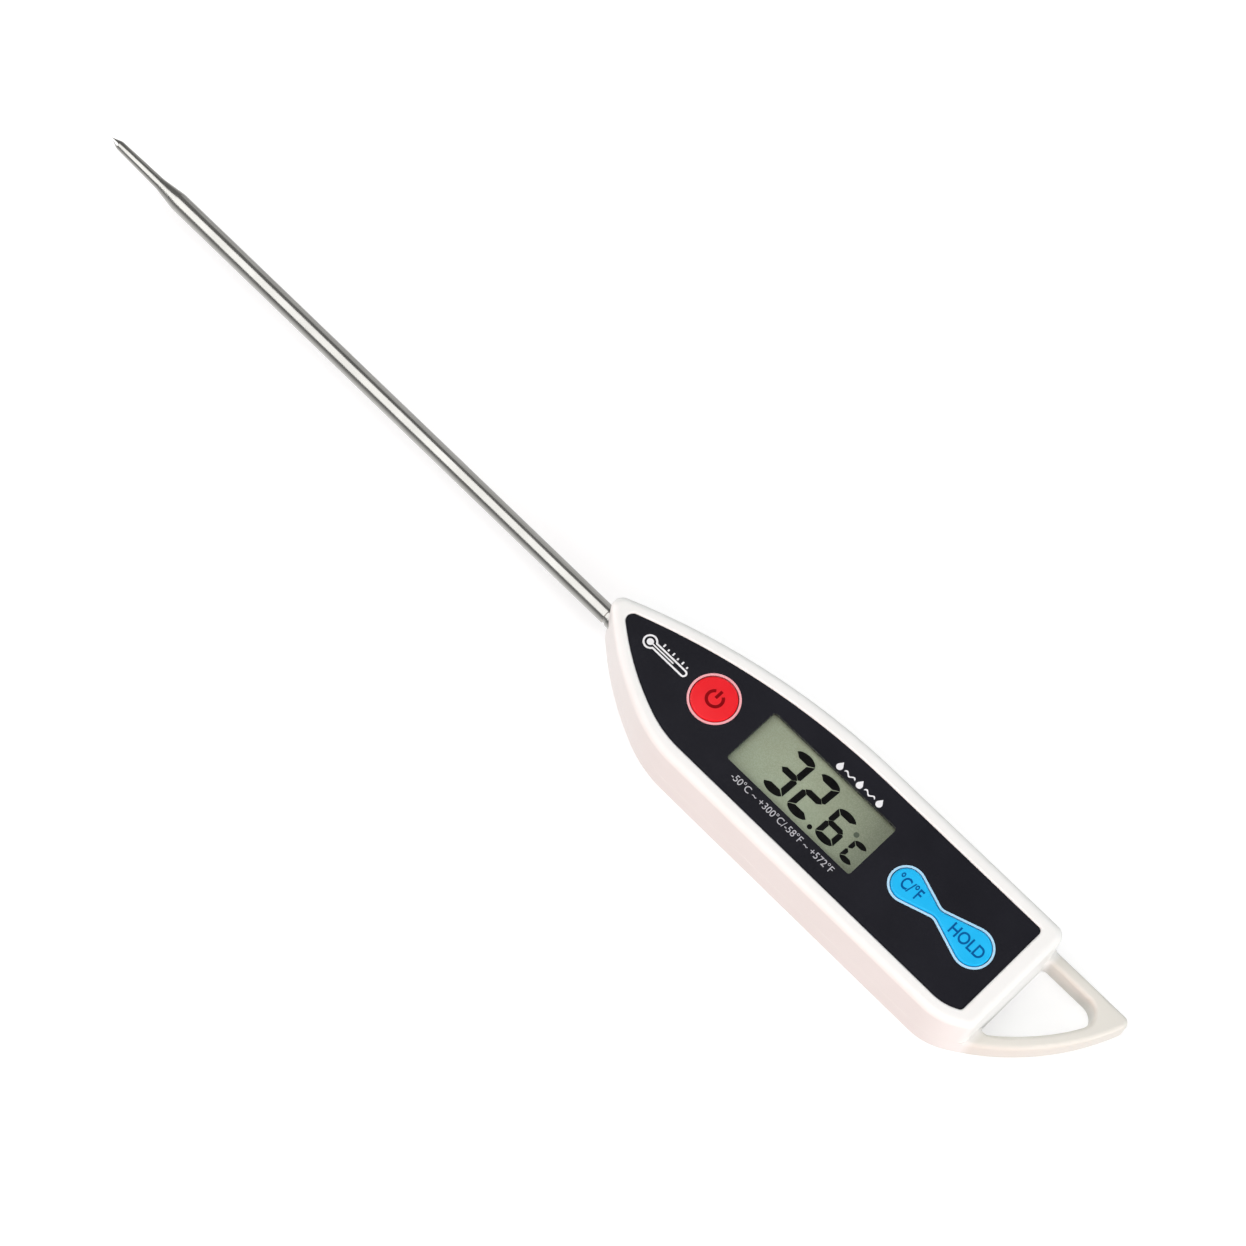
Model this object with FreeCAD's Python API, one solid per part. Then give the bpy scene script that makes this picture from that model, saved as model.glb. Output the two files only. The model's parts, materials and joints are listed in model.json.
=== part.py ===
import FreeCAD, Part
import math
import os
from FreeCAD import Vector

# Digital probe thermometer, millimetres. The probe points along -X, the hanging loop is at +X,
# the display faces +Z. The origin is the centre of the bounding box on the plane of the flat back.

# ---- driving dimensions ----
OVERALL_LENGTH = 240.0
CASE_HEIGHT = 15.2          # flat back to the rim of the face
HALF_WIDTH = 13.5           # probe axis to either side wall
PARTING_Z = 5.7             # joint between the shells, and top of the hanging loop
REAR_WALL_X = 103.0         # where the front shell ends and the loop starts
LOOP_TIP_X = 120.5          # sharp corner of the loop before it is rounded
WALL = 1.6                  # moulded wall thickness
OVERLAP = 0.2               # how far ribs and bosses run into the wall they grow from
WIDE = 20.0                 # a half width that clears the case
BEYOND = 1.0                # how far a cutting shape stands past what it cuts
SLIP = 0.1                  # clearance of a part that slides or drops into its place
TOP_ROUND = 1.3             # outer edge of the rim
BOTTOM_ROUND = 1.2          # outer edge of the flat back

NOSE_CORNER = Vector(6.9, 1.3, 0)             # where the two flanks would meet
FLANK_END_X = 63.0                            # far flank arc runs into the straight side here
NEAR_FLANK_MIDDLE = Vector(19.8, -8.45, 0)
SHOULDER_CORNER = Vector(31.5, -HALF_WIDTH, 0)
BEND_CORNER = Vector(97.6, -HALF_WIDTH, 0)
LOOP_EDGE_MIDDLE = Vector(111.8, -2.15, 0)
LOOP_CORNER = Vector(LOOP_TIP_X, HALF_WIDTH, 0)
NOSE_ROUND = 2.0
SHOULDER_ROUND = 25.0
BEND_ROUND = 12.0
LOOP_TIP_ROUND = 1.3
REAR_CORNER_ROUND = 2.2
REAR_NEAR_Y = 9.6           # about where the rear wall meets the loop's curved edge
SMALLEST_ROUND = 0.9        # of an inset corner

LOOP_FAR_INNER_Y = 11.15    # inner side of the straight loop bar
LOOP_BAR_WIDTH = 2.45       # curved loop bar
LOOP_EDGE_ROUND = 0.8
LOOP_HOLE_CORNER = 1.3      # beside the rear wall
LOOP_HOLE_TIP = 3.0         # the hole's corner inside the loop's tip
LOOP_HOLE_ROUND = 0.6       # lower edge of the hole
LOOP_HOLE_INTO_WALL = 0.25  # the hole's corner rounds start this far inside the rear wall

RIM_WIDTH = 2.75            # outer wall to the edge of the face panel
PANEL_NOSE_CORNER = Vector(6.0, 1.4, 0)       # the panel's own flanks: the rim narrows towards the nose
PANEL_FLANK_MIDDLE = Vector(19.6, -8.8, 0)
PANEL_NOSE_ROUND = 4.1      # of the flanks before they are moved in by the rim
PANEL_REAR_X = 99.6
PANEL_TOP = 14.95
PANEL_THICKNESS = 0.85
ADHESIVE_THICKNESS = 0.15
DECK_THICKNESS = 1.4        # floor of the panel recess
PANEL_GAP = 0.05
ADHESIVE_MARGIN = 0.4       # the sheet stops this far short of the panel's edges and holes

DISPLAY_X = 56.2            # centre of the display
WINDOW_LENGTH = 28.6
WINDOW_WIDTH = 11.8
WINDOW_FLANGE = 0.85        # hidden flange on each side of the window
WINDOW_CORNER = 0.55
WINDOW_FLANGE_CORNER = 0.75
WINDOW_HOLE_CORNER = 0.5    # in the deck
LCD_LENGTH = 30.0
LCD_WIDTH = 13.2
LCD_THICKNESS = 1.8

LCD_LEDGE = 0.6             # the upper glass is this much narrower than the lower one
LCD_FRAME_MARGIN = 0.8
REFLECTOR_THICKNESS = 0.2
REFLECTOR_LENGTH = 28.8
REFLECTOR_WIDTH = 10.6
REFLECTOR_Y = 1.1
ZEBRA_LENGTH = 26.0
ZEBRA_WIDTH = 1.2
ZEBRA_Y = -5.8

COLLAR_WIDTH = 0.4          # white membrane collar round each key
MAT_MARGIN = 1.6            # membrane under the deck, beyond the collar
KEY_EDGE_ROUND = 0.35
KEY_DOME = 60.0
KEY_GAP = 0.16              # key to collar
KEY_TRAVEL = 0.3
POWER_X = 33.1
POWER_RADIUS = 4.7          # outside of the collar
WAIST_X = 85.45             # rocking axis of the bow-tie key
WAIST_HALF = 1.2
FRONT_LOBE_X = 78.45
FRONT_LOBE_RADIUS = 3.4
REAR_LOBE_X = 93.5
REAR_LOBE_RADIUS = 3.8
WAIST_ROUND = 1.6

STEM_LENGTH = 1.8           # of the bow-tie key, at its waist
STEM_WIDTH = 1.4
STEM_SLOT_HALF = 1.5        # half length of the slot for it in the membrane
POWER_BOSS_RADIUS = 3.1
MODE_BOSS_RADIUS = 2.2
PIVOT_Z = 12.0              # rocking axis of the bow-tie key, under the deck
PIVOT_RADIUS = 0.5
PIVOT_CLEARANCE = 0.05
PIVOT_HALF_LENGTH = 2.75
LUG_INNER_Y = 1.75
LUG_THICKNESS = 1.1
LUG_HALF_LENGTH = 1.1

BOARD_BOTTOM = 8.4
BOARD_TOP = 9.4
BOARD_FRONT_X = 27.0
BOARD_REAR_X = 96.0
PAD_THICKNESS = 0.04
PILL_THICKNESS = 0.4
PILL_RADIUS = 1.5
PAD_SPLIT = 0.3             # between the two halves of a key pad
CHIP_X = 60.0
CHIP_DOME = 5.0
CHIP_HEIGHT = 1.2
CRYSTAL_FRONT_X = 48.0
CRYSTAL_LENGTH = 6.0
CRYSTAL_RADIUS = 0.75
CRYSTAL_Y = 7.5
CAPACITOR_CORNERS = [(50, -6.5), (68, 6.5)]
CAPACITOR_LENGTH = 3.2
CAPACITOR_WIDTH = 1.6
RESISTOR_COUNT = 6
RESISTOR_FRONT_X = 42.0
RESISTOR_PITCH = 2.3
RESISTOR_Y = -2.5
RESISTOR_LENGTH = 1.6
RESISTOR_WIDTH = 0.8
RESISTOR_HEIGHT = 0.45

PROBE_Y = 0.3
PROBE_Z = 7.5
PROBE_TIP_X = -120.0
PROBE_END_X = 23.0          # end of the tube inside the case
PROBE_RADIUS = 1.75
PROBE_INNER_RADIUS = 1.45
POINT_LENGTH = 2.2
NEEDLE_LENGTH = 13.0
NEEDLE_TIP_RADIUS = 0.85    # at the shoulder behind the point
NEEDLE_FOOT_RADIUS = 1.1
NEEDLE_BORE_RADIUS = 0.62
CONE_LENGTH = 5.0
POTTING_LENGTH = 8.0
ROOT_GROOVE_X = 8.0         # rolled groove at the nose, which keys the tube in the case
ROOT_GROOVE_WIDTH = 0.8
ROOT_GROOVE_DEPTH = 0.22
ROOT_GROOVE_RAMP = 0.1
LEAD_RADIUS = 0.18
LEAD_SPACING = 0.24         # each lead to the tube's axis
LEAD_BEND = 0.85
LEAD_HOLE_X = 28.6
BEAD_RADIUS = 0.45
BEAD_X = -115.6
SEAL_X = 11.6
SEAL_LENGTH = 1.6
SEAL_RADIUS = 2.45
COLLAR_X = 15.0
COLLAR_LENGTH = 5.5
COLLAR_RADIUS = 2.6
NOSE_BLOCK_END_X = 21.5

BATTERY_X = 86.0
CELL_RADIUS = 5.8
CELL_BOTTOM = 2.15
CELL_HEIGHT = 5.4
CELL_STEP = 0.8             # the negative face is this much smaller in radius
CELL_RIM = 0.35             # and stands this much above the can
CELL_CLEARANCE = 0.3
CONTACT_HALF_WIDTH = 1.5
CONTACT_THICKNESS = 0.22
CONTACT_TAB = 3.2
CAP_RADIUS = 8.3
CAP_CLEARANCE = 0.25
CAP_BOTTOM = 0.3            # the cap sits back from the flat face
CAP_DISC_TOP = 1.5
CAP_TOP = 3.3
NECK_RADIUS = 6.95
NECK_CLEARANCE = 0.1
CAP_LUG_RADIUS = 7.9
CAP_LUG_BOTTOM = 2.8
CAP_LUG_ANGLE = 36.0        # width of each of the two lugs
CAP_LUG_SLACK = 6.0         # how much wider the gap is that lets a lug in
CAP_TURN = 60.0             # from closed to free
LEDGE_TOP = 2.65            # the lugs turn above this ledge
CHAMBER_TOP = 3.45
CHAMBER_RADIUS = 8.1
CHAMBER_ROOF = 0.75
CHAMBER_WALL = 1.4
BATTERY_TUBE_TOP = 7.2
BATTERY_TUBE_WALL = 1.3
COIN_SLOT_LENGTH = 11.0
COIN_SLOT_WIDTH = 1.9
COIN_SLOT_DEPTH = 0.75
CAP_SEAL_RING = 7.55
CAP_SEAL_CORD = 0.4

GASKET_OUTER = 0.55         # from the outer wall
GASKET_WIDTH = 0.6
GASKET_DEPTH = 0.6
PARTING_CHAMFER = 0.05
RIM_INNER_ROUND = 0.4
KEY_HOLE_GAP = 0.1

CASE_SCREWS = [(24.6, 4.6), (24.6, -4.6), (98.4, 8.6), (98.4, -7.9)]
CASE_SCREW_RADIUS = 1.0
CASE_SCREW_HEAD = 1.9       # radius
CASE_SCREW_SINK = 0.2       # the head sits this far below the flat back
CASE_SCREW_SEAT = 1.0       # where the countersink starts
CASE_SCREW_CONE = 0.9       # its height
CROSS_LENGTH = 2.2
CROSS_WIDTH = 0.5
CROSS_DEPTH = 0.7
CASE_SCREW_TOP = 10.5
CASE_BOSS_RADIUS = 1.9
BOARD_SCREWS = [(38.9, 8.0), (38.9, -8.8), (73.4, 9.2), (73.4, -9.2)]
BOARD_SCREW_RADIUS = 0.7
BOARD_SCREW_TOP = 11.6
BOARD_SCREW_HEAD = 1.3
BOARD_SCREW_HEAD_HEIGHT = 0.8
BOARD_SCREW_SLOT_WIDTH = 0.4
BOARD_SCREW_SLOT_DEPTH = 0.35
BOARD_POST_RADIUS = 1.4

# ---- levels worked out from the above ----
PANEL_BOTTOM = PANEL_TOP - PANEL_THICKNESS
DECK_TOP = PANEL_BOTTOM - ADHESIVE_THICKNESS
DECK_BOTTOM = DECK_TOP - DECK_THICKNESS
LCD_TOP = PANEL_BOTTOM - 0.8        # the window's flange fills the space above it
LCD_BOTTOM = LCD_TOP - LCD_THICKNESS
MAT_BOTTOM = DECK_BOTTOM - 0.8
COLLAR_TOP = PANEL_TOP + 0.05
KEY_BOTTOM = DECK_BOTTOM + 0.45
KEY_TOP = COLLAR_TOP + KEY_TRAVEL
KEY_INSET = COLLAR_WIDTH + KEY_GAP
PILL_BOTTOM = BOARD_TOP + PAD_THICKNESS + KEY_TRAVEL + 0.03
PILL_TOP = PILL_BOTTOM + PILL_THICKNESS


# ---- small helpers ----
def box(x0, x1, y0, y1, z0, z1):
    return Part.makeBox(x1 - x0, y1 - y0, z1 - z0, Vector(x0, y0, z0))


def centred_box(x, y, length, width, z0, z1):
    return box(x - length / 2, x + length / 2, y - width / 2, y + width / 2, z0, z1)


def rod(x, y, z0, z1, radius):
    return Part.makeCylinder(radius, z1 - z0, Vector(x, y, z0))


def tube(x, y, z0, z1, outer, inner):
    return rod(x, y, z0, z1, outer).cut(rod(x, y, z0 - BEYOND, z1 + BEYOND, inner))


def rod_along_x(x0, x1, y, z, radius):
    return Part.makeCylinder(radius, x1 - x0, Vector(x0, y, z), Vector(1, 0, 0))


def prism(face, z0, z1):
    """The face, drawn at Z = 0, as a solid from z0 to z1."""
    return face.translated(Vector(0, 0, z0)).extrude(Vector(0, 0, z1 - z0))


def level_edges(shape, z, keep=None):
    """The edges of the shape that lie at height z, and whose middle point passes keep."""
    found = []
    for edge in shape.Edges:
        bounds = edge.BoundBox
        if max(abs(bounds.ZMin - z), abs(bounds.ZMax - z)) < 0.01:
            middle = edge.valueAt((edge.FirstParameter + edge.LastParameter) / 2)
            if keep is None or keep(middle):
                found.append(edge)
    return found


def rounded_box(x0, x1, y0, y1, z0, z1, radius):
    block = box(x0, x1, y0, y1, z0, z1)
    corners = [edge for edge in block.Edges if edge.BoundBox.ZLength > 0.01]
    return block.makeFillet(radius, corners)


def revolved_along_x(profile):
    """A solid of revolution about the probe's axis, from (x, radius) points."""
    points = [Vector(x, PROBE_Y, PROBE_Z + radius) for x, radius in profile]
    wire = Part.makePolygon(points + [points[0]])
    return Part.Face(wire).revolve(Vector(0, PROBE_Y, PROBE_Z), Vector(1, 0, 0), 360)


# ---- plan outlines: sides that meet in rounded corners, with the inside on the left ----
def line_side(start, end):
    along = (end - start).normalize()
    inward = Vector(-along.y, along.x, 0)
    return {"inward": inward, "offset": inward.dot(start)}


def arc_side(centre, radius):
    return {"centre": centre, "radius": radius}


def arc_side_through(start, middle, end):
    circle = Part.Circle(start, middle, end)
    return arc_side(circle.Center, circle.Radius)


def moved_curve(side, depth):
    """The side's whole line or circle, moved inwards by depth."""
    if "radius" in side:
        return Part.Circle(side["centre"], Vector(0, 0, 1), side["radius"] - depth)
    inward = side["inward"]
    foot = inward * (side["offset"] + depth)
    return Part.Line(foot, foot + Vector(inward.y, -inward.x, 0))


def foot_on(side, point, depth):
    """The point of the side, moved inwards by depth, that is nearest to the given point."""
    if "radius" in side:
        return side["centre"] + (point - side["centre"]).normalize() * (side["radius"] - depth)
    inward = side["inward"]
    return point + inward * (side["offset"] + depth - inward.dot(point))


def corner_centre(side, following, depth, near):
    """The point at the same depth inside two sides, nearest to their corner."""
    crossings = moved_curve(side, depth).intersectCC(moved_curve(following, depth))
    return min((Vector(p.X, p.Y, 0) for p in crossings), key=lambda p: (p - near).Length)


def arc_about(centre, start, end):
    """The short arc between two points that lie at the same distance from centre."""
    middle = centre + ((start + end) / 2 - centre).normalize() * (start - centre).Length
    return Part.Arc(start, middle, end).toShape()


def outline(sides, corners, inset=0.0):
    """A face bounded by the sides, moved inwards by inset. Each side comes with the corner that follows
    it: (radius, point near it), where the radius is negative in a hollow corner and None where the
    two sides are tangent."""
    edges = []
    joints = []
    for index, (radius, near) in enumerate(corners):
        here = sides[index]
        following = sides[(index + 1) % len(sides)]
        if radius is None:
            arc, line = (here, following) if "radius" in here else (following, here)
            point = foot_on(line, arc["centre"], inset)
            joints.append((point, point, None))
            continue
        depth = max(radius, inset + SMALLEST_ROUND) if radius >= 0 else radius
        centre = corner_centre(here, following, depth, near)
        joints.append((foot_on(here, centre, inset), foot_on(following, centre, inset), centre))
    for index, side in enumerate(sides):
        start = joints[index - 1][1]
        end, corner_end, centre = joints[index]
        if "radius" in side:
            towards = side.get("towards", (start + end) / 2)
            bulge = foot_on(side, towards, inset)
            edges.append(Part.Arc(start, bulge, end).toShape())
        else:
            edges.append(Part.makeLine(start, end))
        if centre is not None:
            edges.append(arc_about(centre, end, corner_end))
    return Part.Face(Part.Wire(edges))


def near_flank(nose=NOSE_CORNER, middle=NEAR_FLANK_MIDDLE):
    return arc_side_through(nose, middle, SHOULDER_CORNER)


def near_side():
    return line_side(SHOULDER_CORNER, BEND_CORNER)


def loop_edge():
    return arc_side_through(BEND_CORNER, LOOP_EDGE_MIDDLE, LOOP_CORNER)


def far_side():
    return line_side(LOOP_CORNER, Vector(FLANK_END_X, HALF_WIDTH, 0))


def far_flank(nose=NOSE_CORNER):
    """The long arc that is tangent to the straight far side and passes through the nose corner."""
    run = FLANK_END_X - nose.x
    drop = HALF_WIDTH - nose.y
    radius = (run ** 2 + drop ** 2) / (2 * drop)
    return arc_side(Vector(FLANK_END_X, HALF_WIDTH - radius, 0), radius)


def outer_plan(inset=0.0):
    """The back shell: two flanks from the nose, straight sides, and the quarter-leaf loop."""
    sides = [near_flank(), near_side(), loop_edge(), far_side(), far_flank()]
    corners = [(SHOULDER_ROUND, SHOULDER_CORNER), (BEND_ROUND, BEND_CORNER),
               (LOOP_TIP_ROUND, LOOP_CORNER), (None, None), (NOSE_ROUND, NOSE_CORNER)]
    return outline(sides, corners, inset)


def case_plan(inset=0.0):
    """The case proper, which ends in a flat rear wall."""
    near_corner = Vector(REAR_WALL_X, -REAR_NEAR_Y, 0)
    far_corner = Vector(REAR_WALL_X, HALF_WIDTH, 0)
    sides = [near_flank(), near_side(), loop_edge(), line_side(near_corner, far_corner),
             far_side(), far_flank()]
    corners = [(SHOULDER_ROUND, SHOULDER_CORNER), (BEND_ROUND, BEND_CORNER),
               (REAR_CORNER_ROUND, near_corner), (REAR_CORNER_ROUND, far_corner),
               (None, None), (NOSE_ROUND, NOSE_CORNER)]
    return outline(sides, corners, inset)


def loop_hole_plan():
    """The opening of the hanging loop: the rear wall, the straight bar and the curved bar."""
    curved = loop_edge()
    curved["radius"] -= LOOP_BAR_WIDTH
    start_x = REAR_WALL_X - LOOP_HOLE_INTO_WALL
    far_corner = Vector(start_x, LOOP_FAR_INNER_Y, 0)
    near_corner = Vector(start_x, -REAR_NEAR_Y, 0)
    tip = Vector(LOOP_TIP_X, LOOP_FAR_INNER_Y, 0)
    sides = [curved, line_side(tip, far_corner), line_side(far_corner, near_corner)]
    corners = [(LOOP_HOLE_TIP, tip), (LOOP_HOLE_CORNER, far_corner), (LOOP_HOLE_CORNER, near_corner)]
    return outline(sides, corners)


def lobe_touch(lobe_x, radius, sign):
    """Where the straight side from the waist touches the lobe, above (sign 1) or below (sign -1) its axis."""
    reach = WAIST_X - lobe_x
    distance = math.hypot(reach, WAIST_HALF)
    angle = math.atan2(WAIST_HALF, abs(reach)) + math.acos(radius / distance)
    return Vector(lobe_x + math.copysign(radius * math.cos(angle), reach), sign * radius * math.sin(angle), 0)


def bow_tie_plan(inset=0.0):
    """The bow-tie key: two round lobes joined by straight sides and a narrow waist."""
    upper = Vector(WAIST_X, WAIST_HALF, 0)
    lower = Vector(WAIST_X, -WAIST_HALF, 0)
    front = arc_side(Vector(FRONT_LOBE_X, 0, 0), FRONT_LOBE_RADIUS)
    front["towards"] = Vector(FRONT_LOBE_X - FRONT_LOBE_RADIUS, 0, 0)
    rear = arc_side(Vector(REAR_LOBE_X, 0, 0), REAR_LOBE_RADIUS)
    rear["towards"] = Vector(REAR_LOBE_X + REAR_LOBE_RADIUS, 0, 0)
    sides = [
        front,
        line_side(lobe_touch(FRONT_LOBE_X, FRONT_LOBE_RADIUS, -1), lower),
        line_side(lower, lobe_touch(REAR_LOBE_X, REAR_LOBE_RADIUS, -1)),
        rear,
        line_side(lobe_touch(REAR_LOBE_X, REAR_LOBE_RADIUS, 1), upper),
        line_side(upper, lobe_touch(FRONT_LOBE_X, FRONT_LOBE_RADIUS, 1)),
    ]
    tangent = (None, None)
    corners = [tangent, (-WAIST_ROUND, lower), tangent, tangent, (-WAIST_ROUND, upper), tangent]
    return outline(sides, corners, inset)


def panel_plan(inset=0.0):
    """The face panel: a rim round it that is wider at the rear and narrower at the nose."""
    bend = arc_side(corner_centre(near_side(), loop_edge(), BEND_ROUND, BEND_CORNER), BEND_ROUND)
    near_corner = Vector(PANEL_REAR_X + RIM_WIDTH, -REAR_NEAR_Y, 0)
    far_corner = Vector(PANEL_REAR_X + RIM_WIDTH, HALF_WIDTH, 0)
    sides = [near_flank(PANEL_NOSE_CORNER, PANEL_FLANK_MIDDLE), near_side(), bend,
             line_side(near_corner, far_corner), far_side(), far_flank(PANEL_NOSE_CORNER)]
    corners = [(SHOULDER_ROUND, SHOULDER_CORNER), (None, None), (0, near_corner), (0, far_corner),
               (None, None), (PANEL_NOSE_ROUND, PANEL_NOSE_CORNER)]
    return outline(sides, corners, RIM_WIDTH + inset)


# ---- case ----
def window_prism(grow, z0, z1, corner):
    """The window's rectangle, made larger by grow on every side."""
    half_length = WINDOW_LENGTH / 2 + grow
    half_width = WINDOW_WIDTH / 2 + grow
    front, rear = DISPLAY_X - half_length, DISPLAY_X + half_length
    return rounded_box(front, rear, -half_width, half_width, z0, z1, corner)


def key_openings(gap, z0, z1):
    """Holes that clear the membrane collars of both keys by gap."""
    return [rod(POWER_X, 0, z0, z1, POWER_RADIUS + gap), prism(bow_tie_plan(-gap), z0, z1)]


def pivot_lugs():
    """Two lugs under the deck that carry the bow-tie key's pivot pins."""
    bore = Part.makeCylinder(PIVOT_RADIUS + PIVOT_CLEARANCE, 2 * WIDE, Vector(WAIST_X, -WIDE, PIVOT_Z),
                             Vector(0, 1, 0))
    lugs = []
    for near_y in (LUG_INNER_Y, -LUG_INNER_Y - LUG_THICKNESS):
        lug = box(WAIST_X - LUG_HALF_LENGTH, WAIST_X + LUG_HALF_LENGTH, near_y, near_y + LUG_THICKNESS,
                  PIVOT_Z - LUG_HALF_LENGTH, DECK_BOTTOM + OVERLAP)
        lugs.append(lug.cut(bore))
    return lugs


def probe_channel():
    """The stepped bore in the nose that holds the probe, its seal and its collar."""
    return [rod_along_x(0, PROBE_END_X + BEYOND, PROBE_Y, PROBE_Z, PROBE_RADIUS),
            rod_along_x(SEAL_X, SEAL_X + SEAL_LENGTH, PROBE_Y, PROBE_Z, SEAL_RADIUS),
            rod_along_x(COLLAR_X, COLLAR_X + COLLAR_LENGTH, PROBE_Y, PROBE_Z, COLLAR_RADIUS)]


def nose_block(z0, z1):
    """Solid plastic that fills the nose between two heights and grips the probe."""
    return prism(case_plan(WALL - OVERLAP), z0, z1).common(box(0, NOSE_BLOCK_END_X, -WIDE, WIDE, z0, z1))


def gasket_ring():
    outer = prism(case_plan(GASKET_OUTER), PARTING_Z - GASKET_DEPTH, PARTING_Z)
    return outer.cut(prism(case_plan(GASKET_OUTER + GASKET_WIDTH), 0, CASE_HEIGHT))


def front_shell():
    shell = prism(case_plan(), PARTING_Z, CASE_HEIGHT)
    shell = shell.makeFillet(TOP_ROUND, level_edges(shell, CASE_HEIGHT))
    shell = shell.makeChamfer(PARTING_CHAMFER, level_edges(shell, PARTING_Z))
    recess = prism(panel_plan(), DECK_TOP, CASE_HEIGHT + BEYOND)
    shell = shell.cut(recess)
    on_recess = lambda point: recess.distToShape(Part.Vertex(point))[0] < 0.01
    shell = shell.makeFillet(RIM_INNER_ROUND, level_edges(shell, CASE_HEIGHT, on_recess))
    shell = shell.cut(prism(case_plan(WALL), PARTING_Z - BEYOND, DECK_BOTTOM))
    inside = [nose_block(PARTING_Z, DECK_BOTTOM + OVERLAP)] + pivot_lugs()
    inside += [rod(x, y, PARTING_Z, DECK_BOTTOM + OVERLAP, CASE_BOSS_RADIUS) for x, y in CASE_SCREWS]
    inside += [rod(x, y, BOARD_TOP, DECK_BOTTOM + OVERLAP, BOARD_POST_RADIUS) for x, y in BOARD_SCREWS]
    shell = shell.multiFuse(inside)
    cuts = [window_prism(WINDOW_FLANGE + PANEL_GAP, DECK_BOTTOM - BEYOND, DECK_TOP + BEYOND,
                         WINDOW_HOLE_CORNER)]
    cuts += key_openings(KEY_HOLE_GAP, DECK_BOTTOM - 0.01, DECK_TOP + BEYOND) + probe_channel()
    cuts += [rod(x, y, PARTING_Z - BEYOND, CASE_SCREW_TOP, CASE_SCREW_RADIUS) for x, y in CASE_SCREWS]
    cuts += [rod(x, y, BOARD_TOP - BEYOND, BOARD_SCREW_TOP, BOARD_SCREW_RADIUS) for x, y in BOARD_SCREWS]
    return shell.cut(cuts)


def loop_shape():
    """The hanging loop behind the rear wall, with rounded edges all round."""
    behind = box(REAR_WALL_X, OVERALL_LENGTH, -WIDE, WIDE, 0, CASE_HEIGHT)
    hole = prism(loop_hole_plan(), -BEYOND, PARTING_Z + BEYOND)
    loop = prism(outer_plan(), 0, PARTING_Z).cut(hole).common(behind)
    off_wall = lambda point: point.x > REAR_WALL_X + 0.01
    on_hole = lambda point: off_wall(point) and hole.distToShape(Part.Vertex(point))[0] < 0.01
    on_outside = lambda point: off_wall(point) and not on_hole(point)
    loop = loop.makeFillet(LOOP_EDGE_ROUND, level_edges(loop, PARTING_Z, off_wall))
    loop = loop.makeFillet(BOTTOM_ROUND, level_edges(loop, 0, on_outside))
    return loop.makeFillet(LOOP_HOLE_ROUND, level_edges(loop, 0, on_hole))


def battery_well():
    """The pot round the button cell, and the bayonet seat for its cap. Returns (plastic, hollow)."""
    roof = CHAMBER_TOP + CHAMBER_ROOF
    plastic = [rod(BATTERY_X, 0, WALL - OVERLAP, roof, CHAMBER_RADIUS + CHAMBER_WALL),
               rod(BATTERY_X, 0, WALL - OVERLAP, BATTERY_TUBE_TOP, CELL_RADIUS + BATTERY_TUBE_WALL)]
    hollow = [rod(BATTERY_X, 0, -BEYOND, WALL, CAP_RADIUS + CAP_CLEARANCE),
              rod(BATTERY_X, 0, WALL - BEYOND, LEDGE_TOP, NECK_RADIUS + NECK_CLEARANCE),
              rod(BATTERY_X, 0, LEDGE_TOP, CHAMBER_TOP, CHAMBER_RADIUS),
              rod(BATTERY_X, 0, LEDGE_TOP, CASE_HEIGHT, CELL_RADIUS + CELL_CLEARANCE),
              centred_box(BATTERY_X, CELL_RADIUS, 2 * CONTACT_HALF_WIDTH + 4 * SLIP, 1.0, roof + SLIP,
                          CASE_HEIGHT)]
    for start in (0, 180):
        hollow.append(sector(CAP_LUG_RADIUS + 2 * SLIP, start + CAP_TURN, CAP_LUG_ANGLE + CAP_LUG_SLACK,
                             WALL - OVERLAP, LEDGE_TOP + SLIP))
    return plastic, hollow


def sector(radius, middle, width, z0, z1):
    """A wedge of a disc about the battery's axis; angles in degrees."""
    wedge = Part.makeCylinder(radius, z1 - z0, Vector(0, 0, z0), Vector(0, 0, 1), width)
    wedge.rotate(Vector(0, 0, 0), Vector(0, 0, 1), middle - width / 2)
    return wedge.translated(Vector(BATTERY_X, 0, 0))


def back_shell():
    case = prism(outer_plan(), 0, PARTING_Z).common(box(0, REAR_WALL_X, -WIDE, WIDE, 0, CASE_HEIGHT))
    off_wall = lambda point: point.x < REAR_WALL_X - 0.01
    case = case.makeFillet(BOTTOM_ROUND, level_edges(case, 0, off_wall))
    case = case.cut(prism(case_plan(WALL), WALL, CASE_HEIGHT))
    plastic, hollow = battery_well()
    inside = [loop_shape(), nose_block(WALL - OVERLAP, PARTING_Z)] + plastic
    inside += [rod(x, y, WALL - OVERLAP, PARTING_Z, CASE_BOSS_RADIUS) for x, y in CASE_SCREWS]
    shell = case.multiFuse(inside)
    cuts = [gasket_ring()] + hollow + probe_channel()
    for x, y in CASE_SCREWS:
        cuts.append(rod(x, y, -BEYOND, CASE_HEIGHT, CASE_SCREW_RADIUS + SLIP))
        cuts.append(rod(x, y, -BEYOND, CASE_SCREW_SEAT, CASE_SCREW_HEAD + SLIP))
        cuts.append(screw_cone(x, y, SLIP))
    return shell.cut(cuts)


def screw_cone(x, y, gap=0.0):
    """The cone under the head of a case screw, or its countersink when gap is the clearance."""
    return Part.makeCone(CASE_SCREW_HEAD + gap, CASE_SCREW_RADIUS + gap, CASE_SCREW_CONE,
                         Vector(x, y, CASE_SCREW_SEAT))


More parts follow.
